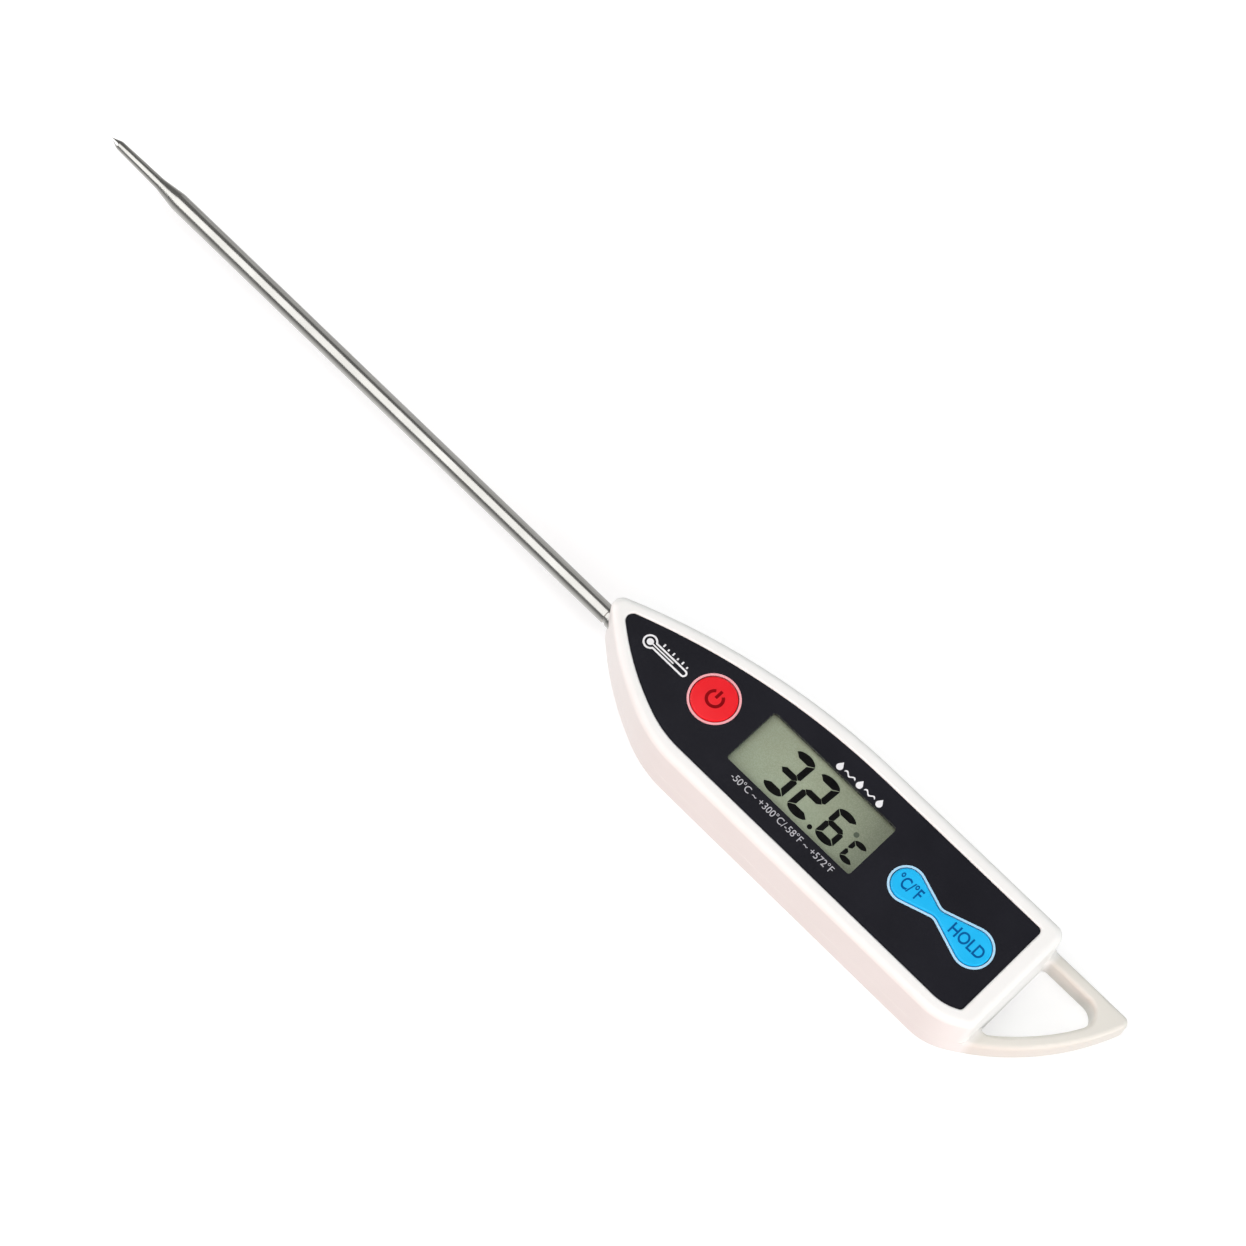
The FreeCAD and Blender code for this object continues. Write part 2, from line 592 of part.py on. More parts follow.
def case_screws():
    """Four countersunk screws with cross recesses, driven from the back."""
    screws = []
    for x, y in CASE_SCREWS:
        head = rod(x, y, CASE_SCREW_SINK, CASE_SCREW_SEAT, CASE_SCREW_HEAD)
        shank = rod(x, y, CASE_SCREW_SEAT, CASE_SCREW_TOP, CASE_SCREW_RADIUS)
        cross_top = CASE_SCREW_SINK + CROSS_DEPTH
        cross = centred_box(x, y, CROSS_LENGTH, CROSS_WIDTH, 0, cross_top)
        cross = cross.fuse(centred_box(x, y, CROSS_WIDTH, CROSS_LENGTH, 0, cross_top))
        screws.append(head.multiFuse([screw_cone(x, y), shank]).cut(cross).removeSplitter())
    return Part.makeCompound(screws)


# ---- face ----
def face_panel():
    panel = prism(panel_plan(PANEL_GAP), PANEL_BOTTOM, PANEL_TOP)
    window = window_prism(PANEL_GAP, 0, CASE_HEIGHT, WINDOW_CORNER + PANEL_GAP)
    return panel.cut([window] + key_openings(PANEL_GAP, 0, CASE_HEIGHT))


def panel_adhesive():
    sheet = prism(panel_plan(ADHESIVE_MARGIN), DECK_TOP, PANEL_BOTTOM)
    window = window_prism(WINDOW_FLANGE + ADHESIVE_MARGIN, 0, CASE_HEIGHT, WINDOW_FLANGE_CORNER)
    return sheet.cut([window] + key_openings(ADHESIVE_MARGIN, 0, CASE_HEIGHT))


def display_window():
    pane = window_prism(0, PANEL_BOTTOM - 0.1, PANEL_TOP, WINDOW_CORNER)
    flange = window_prism(WINDOW_FLANGE, LCD_TOP + 0.05, PANEL_BOTTOM, WINDOW_FLANGE_CORNER)
    return pane.fuse(flange).removeSplitter()


def display_box(length, width, z0, z1, y=0.0):
    half = length / 2
    return box(DISPLAY_X - half, DISPLAY_X + half, y - width / 2, y + width / 2, z0, z1)


def lcd_cell():
    """Two glass plates: the lower one is longer on the near side, where the contacts are."""
    middle = (LCD_BOTTOM + LCD_TOP) / 2
    lower = display_box(LCD_LENGTH, LCD_WIDTH, LCD_BOTTOM, middle)
    upper = display_box(LCD_LENGTH, LCD_WIDTH - LCD_LEDGE, middle, LCD_TOP, LCD_LEDGE / 2)
    return lower.fuse(upper)


def lcd_reflector():
    bottom = LCD_BOTTOM - REFLECTOR_THICKNESS
    return display_box(REFLECTOR_LENGTH, REFLECTOR_WIDTH, bottom, LCD_BOTTOM, REFLECTOR_Y)


def zebra_strip():
    return display_box(ZEBRA_LENGTH, ZEBRA_WIDTH, BOARD_TOP, LCD_BOTTOM, ZEBRA_Y)


def lcd_frame():
    """A tray that holds the display above the board, with a slot for the zebra strip."""
    length = LCD_LENGTH + 2 * LCD_FRAME_MARGIN
    width = LCD_WIDTH + 2 * LCD_FRAME_MARGIN
    frame = display_box(length, width, BOARD_TOP, DECK_BOTTOM - PANEL_GAP)
    glass = display_box(LCD_LENGTH + SLIP, LCD_WIDTH + SLIP, LCD_BOTTOM, CASE_HEIGHT)
    reflector = display_box(REFLECTOR_LENGTH, REFLECTOR_WIDTH, LCD_BOTTOM - REFLECTOR_THICKNESS, LCD_TOP,
                            REFLECTOR_Y)
    underside = display_box(LCD_LENGTH, REFLECTOR_WIDTH - 0.8, BOARD_TOP, LCD_BOTTOM - 1.0, REFLECTOR_Y + 0.6)
    zebra_slot = display_box(ZEBRA_LENGTH + SLIP, ZEBRA_WIDTH + SLIP, BOARD_TOP, LCD_TOP, ZEBRA_Y)
    return frame.cut([glass, reflector, underside, zebra_slot])


# ---- keys ----
def power_key():
    """Round key with a slightly domed top."""
    radius = POWER_RADIUS - KEY_INSET
    key = rod(POWER_X, 0, KEY_BOTTOM, KEY_TOP, radius)
    key = key.common(Part.makeSphere(KEY_DOME, Vector(POWER_X, 0, KEY_TOP - KEY_DOME)))
    rim = [e for e in key.Edges if e.BoundBox.ZMin > KEY_BOTTOM + 1 and e.BoundBox.ZLength < 0.01]
    return key.makeFillet(KEY_EDGE_ROUND, rim)


def mode_key():
    """Bow-tie rocker with a stem at its waist and a pivot pin through the stem."""
    key = prism(bow_tie_plan(KEY_INSET), KEY_BOTTOM, KEY_TOP)
    key = key.makeFillet(KEY_EDGE_ROUND, level_edges(key, KEY_TOP))
    stem = box(WAIST_X - STEM_LENGTH / 2, WAIST_X + STEM_LENGTH / 2, -STEM_WIDTH / 2, STEM_WIDTH / 2,
               PIVOT_Z - STEM_WIDTH / 2, KEY_BOTTOM + OVERLAP)
    pin = Part.makeCylinder(PIVOT_RADIUS, 2 * PIVOT_HALF_LENGTH, Vector(WAIST_X, -PIVOT_HALF_LENGTH, PIVOT_Z),
                            Vector(0, 1, 0))
    return key.multiFuse([stem, pin]).removeSplitter()


def contact_pill(x):
    return rod(x, 0, PILL_BOTTOM, PILL_TOP, PILL_RADIUS)


def key_bosses(positions, radius):
    """Membrane bosses that carry a key above and its contact pill below."""
    bosses = []
    for x in positions:
        bosses.append(rod(x, 0, MAT_BOTTOM, KEY_BOTTOM, radius))
        bosses.append(rod(x, 0, PILL_TOP, MAT_BOTTOM, PILL_RADIUS - 0.1))
    return bosses


def power_key_membrane():
    sheet = rod(POWER_X, 0, MAT_BOTTOM, DECK_BOTTOM, POWER_RADIUS + MAT_MARGIN)
    collar = tube(POWER_X, 0, MAT_BOTTOM, COLLAR_TOP, POWER_RADIUS, POWER_RADIUS - COLLAR_WIDTH)
    return sheet.multiFuse([collar] + key_bosses([POWER_X], POWER_BOSS_RADIUS)).removeSplitter()


def mode_key_membrane():
    sheet = prism(bow_tie_plan(-MAT_MARGIN), MAT_BOTTOM, DECK_BOTTOM)
    sheet = sheet.cut(box(WAIST_X - STEM_SLOT_HALF, WAIST_X + STEM_SLOT_HALF, -WIDE, WIDE, 0, CASE_HEIGHT))
    collar = prism(bow_tie_plan(), DECK_BOTTOM - 0.3, COLLAR_TOP)
    collar = collar.cut(prism(bow_tie_plan(COLLAR_WIDTH), 0, CASE_HEIGHT))
    collar = collar.cut(box(WAIST_X - STEM_SLOT_HALF, WAIST_X + STEM_SLOT_HALF, -WIDE, WIDE, 0, DECK_BOTTOM))
    bosses = key_bosses([FRONT_LOBE_X, REAR_LOBE_X], MODE_BOSS_RADIUS)
    return sheet.multiFuse([collar] + bosses).removeSplitter()


# ---- electronics ----
def lead_positions():
    return [PROBE_Y - LEAD_SPACING, PROBE_Y + LEAD_SPACING]


def circuit_board():
    board = prism(case_plan(WALL + 0.5), BOARD_BOTTOM, BOARD_TOP)
    board = board.common(box(BOARD_FRONT_X, BOARD_REAR_X, -WIDE, WIDE, 0, CASE_HEIGHT))
    holes = [rod(x, y, 0, CASE_HEIGHT, BOARD_SCREW_RADIUS + SLIP) for x, y in BOARD_SCREWS]
    holes += [rod(LEAD_HOLE_X, y, 0, CASE_HEIGHT, LEAD_RADIUS + 0.04) for y in lead_positions()]
    return board.cut(holes)


def board_key_pads():
    """Interleaved copper pads under the three contact pills, drawn as two half discs each."""
    pads = []
    for x in (POWER_X, FRONT_LOBE_X, REAR_LOBE_X):
        disc = rod(x, 0, BOARD_TOP, BOARD_TOP + PAD_THICKNESS, PILL_RADIUS)
        halves = disc.cut(box(x - PAD_SPLIT / 2, x + PAD_SPLIT / 2, -WIDE, WIDE, 0, CASE_HEIGHT))
        pads += halves.Solids
    return Part.makeCompound(pads)


def board_screws():
    screws = []
    for x, y in BOARD_SCREWS:
        head_bottom = BOARD_BOTTOM - BOARD_SCREW_HEAD_HEIGHT
        head = rod(x, y, head_bottom, BOARD_BOTTOM, BOARD_SCREW_HEAD)
        shank = rod(x, y, BOARD_BOTTOM - OVERLAP, BOARD_SCREW_TOP, BOARD_SCREW_RADIUS)
        slot = centred_box(x, y, 3 * BOARD_SCREW_HEAD, BOARD_SCREW_SLOT_WIDTH, head_bottom - BEYOND,
                           head_bottom + BOARD_SCREW_SLOT_DEPTH)
        screws.append(head.fuse(shank).cut(slot).removeSplitter())
    return Part.makeCompound(screws)


def chip_blob():
    """The epoxy dome over the bare chip, under the board."""
    dome = Part.makeSphere(CHIP_DOME, Vector(CHIP_X, 0, BOARD_BOTTOM + CHIP_DOME - CHIP_HEIGHT))
    return dome.common(box(CHIP_X - WIDE, CHIP_X + WIDE, -WIDE, WIDE, 0, BOARD_BOTTOM))


def board_components():
    """The small parts under the board: a crystal can, two capacitors and six resistors."""
    parts = [rod_along_x(CRYSTAL_FRONT_X, CRYSTAL_FRONT_X + CRYSTAL_LENGTH, CRYSTAL_Y,
                         BOARD_BOTTOM - CRYSTAL_RADIUS, CRYSTAL_RADIUS)]
    for x, y in CAPACITOR_CORNERS:
        parts.append(box(x, x + CAPACITOR_LENGTH, y, y + CAPACITOR_WIDTH,
                         BOARD_BOTTOM - CAPACITOR_WIDTH, BOARD_BOTTOM))
    for index in range(RESISTOR_COUNT):
        x = RESISTOR_FRONT_X + RESISTOR_PITCH * index
        parts.append(box(x, x + RESISTOR_LENGTH, RESISTOR_Y, RESISTOR_Y + RESISTOR_WIDTH,
                         BOARD_BOTTOM - RESISTOR_HEIGHT, BOARD_BOTTOM))
    return Part.makeCompound(parts)


# ---- battery ----
def button_cell():
    can = rod(BATTERY_X, 0, CELL_BOTTOM, CELL_BOTTOM + CELL_HEIGHT - CELL_RIM, CELL_RADIUS)
    can = can.makeFillet(0.4, [e for e in can.Edges if e.BoundBox.ZLength < 0.01])
    top = rod(BATTERY_X, 0, CELL_BOTTOM + BEYOND, CELL_BOTTOM + CELL_HEIGHT, CELL_RADIUS - CELL_STEP)
    return can.fuse(top).removeSplitter()


def battery_contact_negative():
    """A leaf soldered under the board, sprung down on to the cell."""
    top = CELL_BOTTOM + CELL_HEIGHT
    under = BOARD_BOTTOM - CONTACT_THICKNESS
    side_view = [(77.0, BOARD_BOTTOM), (80.6, BOARD_BOTTOM), (85.6, top + 0.24), (87.4, top + 0.5),
                 (87.4, top + 0.28), (85.6, top + 0.01), (80.4, under), (77.0, under)]
    points = [Vector(x, -CONTACT_HALF_WIDTH, z) for x, z in side_view]
    return Part.Face(Part.makePolygon(points + [points[0]])).extrude(Vector(0, 2 * CONTACT_HALF_WIDTH, 0))


def battery_contact_positive():
    """A strip soldered under the board that bears on the side of the cell."""
    side = CELL_RADIUS + 0.02
    front, rear = BATTERY_X - CONTACT_HALF_WIDTH, BATTERY_X + CONTACT_HALF_WIDTH
    strip = box(front, rear, side, side + CONTACT_THICKNESS, CELL_BOTTOM + CELL_HEIGHT / 2, BOARD_BOTTOM)
    tab = box(front, rear, side, side + CONTACT_TAB, BOARD_BOTTOM - CONTACT_THICKNESS, BOARD_BOTTOM)
    return strip.fuse(tab).removeSplitter()


def battery_cap():
    """Bayonet cap: a disc with a coin slot, a hollow neck and two lugs."""
    disc = rod(BATTERY_X, 0, CAP_BOTTOM, CAP_DISC_TOP, CAP_RADIUS)
    disc = disc.makeFillet(0.35, level_edges(disc, CAP_BOTTOM))
    neck = tube(BATTERY_X, 0, CAP_DISC_TOP - 0.1, CAP_TOP, NECK_RADIUS, CELL_RADIUS + 0.2)
    floor = rod(BATTERY_X, 0, CAP_DISC_TOP - 0.1, CELL_BOTTOM - 0.05, NECK_RADIUS)
    lugs = []
    for start in (0, 180):
        lug = sector(CAP_LUG_RADIUS, start, CAP_LUG_ANGLE, CAP_LUG_BOTTOM, CAP_TOP)
        lugs.append(lug.cut(rod(BATTERY_X, 0, 0, CASE_HEIGHT, NECK_RADIUS - 0.3)))
    cap = disc.multiFuse([neck, floor] + lugs)
    half, side = COIN_SLOT_LENGTH / 2, COIN_SLOT_WIDTH / 2
    slot = rounded_box(BATTERY_X - half, BATTERY_X + half, -side, side, -BEYOND, CAP_BOTTOM + COIN_SLOT_DEPTH,
                       side - 0.05)
    groove = tube(BATTERY_X, 0, CAP_DISC_TOP - 0.75, CAP_DISC_TOP + 0.5, CAP_SEAL_RING + CAP_SEAL_CORD,
                  CAP_SEAL_RING - CAP_SEAL_CORD)
    return cap.cut([slot, groove]).removeSplitter()


def battery_cap_seal():
    return Part.makeTorus(CAP_SEAL_RING, CAP_SEAL_CORD, Vector(BATTERY_X, 0, CAP_DISC_TOP - 0.35))


# ---- probe ----
def rolled_groove(radius):
    """The four (x, radius) points of the root groove, on a wall of the given radius."""
    end_x = ROOT_GROOVE_X + ROOT_GROOVE_WIDTH
    floor = radius - ROOT_GROOVE_DEPTH
    return [(ROOT_GROOVE_X, radius), (ROOT_GROOVE_X + ROOT_GROOVE_RAMP, floor),
            (end_x - ROOT_GROOVE_RAMP, floor), (end_x, radius)]


def probe_tube():
    """Stainless tube, swaged to a thin needle with a sharp point."""
    shoulder = PROBE_TIP_X + POINT_LENGTH
    needle_foot = PROBE_TIP_X + NEEDLE_LENGTH
    cone_foot = needle_foot + CONE_LENGTH
    bore_wall = PROBE_RADIUS - PROBE_INNER_RADIUS
    outside = [(PROBE_TIP_X, 0), (shoulder, NEEDLE_TIP_RADIUS), (needle_foot, NEEDLE_FOOT_RADIUS),
               (cone_foot, PROBE_RADIUS)] + rolled_groove(PROBE_RADIUS) + [(PROBE_END_X, PROBE_RADIUS)]
    inside = [(shoulder + bore_wall, 0), (shoulder + bore_wall, NEEDLE_BORE_RADIUS),
              (needle_foot + bore_wall, NEEDLE_FOOT_RADIUS - bore_wall),
              (cone_foot + bore_wall, PROBE_INNER_RADIUS)] + rolled_groove(PROBE_INNER_RADIUS)
    inside.append((PROBE_END_X, PROBE_INNER_RADIUS))
    return revolved_along_x(outside + inside[::-1])


def probe_collar():
    """Brass collar on the tube, with two grooves that key it into the nose."""
    collar = rod_along_x(COLLAR_X, COLLAR_X + COLLAR_LENGTH, PROBE_Y, PROBE_Z, COLLAR_RADIUS)
    collar = collar.cut(rod_along_x(0, 30, PROBE_Y, PROBE_Z, PROBE_RADIUS))
    for x in (COLLAR_X + 1.5, COLLAR_X + 3.4):
        groove = rod_along_x(x, x + 0.6, PROBE_Y, PROBE_Z, COLLAR_RADIUS + 1)
        collar = collar.cut(groove.cut(rod_along_x(x, x + 0.6, PROBE_Y, PROBE_Z, COLLAR_RADIUS - 0.4)))
    return collar


def probe_nose_seal():
    ring = rod_along_x(SEAL_X, SEAL_X + SEAL_LENGTH, PROBE_Y, PROBE_Z, SEAL_RADIUS)
    ring = ring.makeFillet(0.3, [e for e in ring.Edges if e.BoundBox.XLength < 0.01])
    return ring.cut(rod_along_x(0, 30, PROBE_Y, PROBE_Z, PROBE_RADIUS))


def thermistor_bead():
    return Part.makeSphere(BEAD_RADIUS, Vector(BEAD_X, PROBE_Y, PROBE_Z))


def sensor_lead(y):
    """One wire from the bead along the tube, then up through its hole in the board."""
    start = Vector(BEAD_X + 0.3, y, PROBE_Z)
    bend = Vector(LEAD_HOLE_X - LEAD_BEND, y, PROBE_Z)
    half = LEAD_BEND * math.sqrt(0.5)
    middle = Vector(bend.x + half, y, PROBE_Z + LEAD_BEND - half)
    rise = Vector(LEAD_HOLE_X, y, PROBE_Z + LEAD_BEND)
    end = Vector(LEAD_HOLE_X, y, BOARD_TOP + 0.3)
    turn = Part.Arc(bend, middle, rise).toShape()
    path = Part.Wire([Part.makeLine(start, bend), turn, Part.makeLine(rise, end)])
    ring = Part.Wire(Part.makeCircle(LEAD_RADIUS, start, Vector(1, 0, 0)))
    wire = path.makePipeShell([ring], True, False)
    return wire.cut(thermistor_bead())


def tip_potting():
    """Resin that fills the needle round the bead and the ends of the leads."""
    start = PROBE_TIP_X + POINT_LENGTH + PROBE_RADIUS - PROBE_INNER_RADIUS
    resin = rod_along_x(start, start + POTTING_LENGTH, PROBE_Y, PROBE_Z, NEEDLE_BORE_RADIUS)
    return resin.cut([thermistor_bead()] + [sensor_lead(y) for y in lead_positions()])


NODES = {
    "front_shell": front_shell,
    "back_shell": back_shell,
    "shell_gasket": gasket_ring,
    "case_screws": case_screws,
    "face_panel": face_panel,
    "panel_adhesive": panel_adhesive,
    "display_window": display_window,
    "lcd_cell": lcd_cell,
    "lcd_reflector": lcd_reflector,
    "lcd_frame": lcd_frame,
    "zebra_strip": zebra_strip,
    "power_key": power_key,
    "power_contact_pill": lambda: contact_pill(POWER_X),
    "power_key_membrane": power_key_membrane,
    "mode_key": mode_key,
    "unit_contact_pill": lambda: contact_pill(FRONT_LOBE_X),
    "hold_contact_pill": lambda: contact_pill(REAR_LOBE_X),
    "mode_key_membrane": mode_key_membrane,
    "circuit_board": circuit_board,
    "board_key_pads": board_key_pads,
    "board_screws": board_screws,
    "chip_blob": chip_blob,
    "board_components": board_components,
    "button_cell": button_cell,
    "battery_contact_negative": battery_contact_negative,
    "battery_contact_positive": battery_contact_positive,
    "battery_cap": battery_cap,
    "battery_cap_seal": battery_cap_seal,
    "probe_tube": probe_tube,
    "probe_collar": probe_collar,
    "probe_nose_seal": probe_nose_seal,
    "thermistor_bead": thermistor_bead,
    "sensor_lead_near": lambda: sensor_lead(lead_positions()[0]),
    "sensor_lead_far": lambda: sensor_lead(lead_positions()[1]),
    "tip_potting": tip_potting,
}

os.makedirs("parts", exist_ok=True)
for name, make in NODES.items():
    shape = make()
    shape.exportStep("parts/" + name + ".step")
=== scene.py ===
import json
import math

import bmesh
import bpy
from mathutils import Matrix, Vector


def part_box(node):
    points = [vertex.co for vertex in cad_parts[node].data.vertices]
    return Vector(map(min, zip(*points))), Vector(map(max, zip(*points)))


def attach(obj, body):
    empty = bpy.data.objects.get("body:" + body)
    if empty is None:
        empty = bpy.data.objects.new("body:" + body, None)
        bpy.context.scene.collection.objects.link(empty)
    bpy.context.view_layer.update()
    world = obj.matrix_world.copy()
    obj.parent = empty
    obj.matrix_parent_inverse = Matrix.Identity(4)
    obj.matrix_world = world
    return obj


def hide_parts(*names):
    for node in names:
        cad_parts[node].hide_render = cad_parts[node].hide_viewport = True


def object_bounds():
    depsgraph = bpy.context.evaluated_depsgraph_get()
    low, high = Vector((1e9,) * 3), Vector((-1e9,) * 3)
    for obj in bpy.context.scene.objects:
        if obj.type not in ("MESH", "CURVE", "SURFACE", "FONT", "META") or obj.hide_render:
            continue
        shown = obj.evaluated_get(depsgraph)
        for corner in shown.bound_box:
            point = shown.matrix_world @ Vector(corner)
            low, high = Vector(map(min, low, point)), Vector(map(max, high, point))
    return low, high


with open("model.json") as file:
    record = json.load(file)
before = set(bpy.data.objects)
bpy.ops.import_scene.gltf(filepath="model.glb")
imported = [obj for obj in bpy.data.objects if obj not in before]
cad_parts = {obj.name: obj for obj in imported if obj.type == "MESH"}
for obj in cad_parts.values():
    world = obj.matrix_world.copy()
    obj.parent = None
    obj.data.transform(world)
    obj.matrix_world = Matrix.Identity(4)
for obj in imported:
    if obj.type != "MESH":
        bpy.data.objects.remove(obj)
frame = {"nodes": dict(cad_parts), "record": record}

# Digital probe thermometer. Its lengths are written in millimetres and go into Blender in metres.
MM = 0.001
CAD_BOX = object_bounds()

# ---- camera: its place and clipping in metres, its sensor and lens in millimetres ----
CAMERA_PLACE = Vector((0.14478, -0.19895, 0.56245))
CAMERA_RIGHT = Vector((0.70275, 0.70633, 0.08510))
CAMERA_UP = Vector((-0.67610, 0.62583, 0.38887))
SENSOR = 36.0
LENS = 101.12
CLIP_START = 0.01
CLIP_END = 20

# ---- heights of the marks above what they are printed on ----
PRINT_DEPTH = 0.02
SYMBOL_DEPTH = 0.05
INK_DEPTH = 0.03

DEGREE = "\N{DEGREE SIGN}"
LABEL_WEIGHT = 0.014

# ---- needle and shaft of the probe: distance from the tip, and radius ----
NEEDLE = [(0.05, 0.035), (1.1, 0.44), (2.0, 0.79), (2.4, 0.86), (5.0, 0.92), (9.0, 1.01), (12.6, 1.085),
          (13.2, 1.12), (15.5, 1.42), (17.6, 1.7)]
SHAFT_START = 18.2
SHAFT_RINGS = (30, 60, 90, 110)
GROOVE_DEPTH = 0.22
GROOVE_SLOPE = 0.1
GROOVE_LENGTH = 0.8
TUBE_WALL = 0.3
BORE_SHOWN = 3
SIDES_ROUND = 128
SHARP_ANGLE = 40

# ---- segments of the display ----
# The level ones: how they bow, and how far they stop short of the digit's sides, in millimetres.
SHOULDER_SHARE = 0.45
BOW_POWER = 0.6
BOW_STEPS = 12
LEVEL_INSET = 0.1
# These are shares of a segment's width.
CAP_HEIGHT = 1.3
TIP_INSET = 0.9
MIDDLE_TIP = 0.3
LEVEL_HALF = 0.5
OUTER_END = 0.75
INNER_END = 1.5
OUTER_MIDDLE = 0.35
INNER_MIDDLE = 0.6
POINT_ACROSS = 0.35
POINT_MIDDLE = 0.12

# ---- floor: its half width in metres, the gap above it in millimetres, and its glow ----
FLOOR_HALF = 4.0
FLOOR_GAP = 0.05
FLOOR_GLOW = 0.57

# The part of a noise's range that holds most of its values.
NOISE_LOW = 0.3
NOISE_HIGH = 0.7

# ---- looks ----
# Each has two tones that it drifts between, the range of its roughness, the size of its grain and the
# height of its relief, both in millimetres. The names are those of the record's material slots, and
# after them come the looks of marks and of the tinted collars round the keys.
PRINT_ROUGH = (0.4, 0.55)
INK_ROUGH = (0.5, 0.65)
SILICONE_ROUGH = (0.45, 0.6)
KEY_ROUGH = (0.36, 0.48)

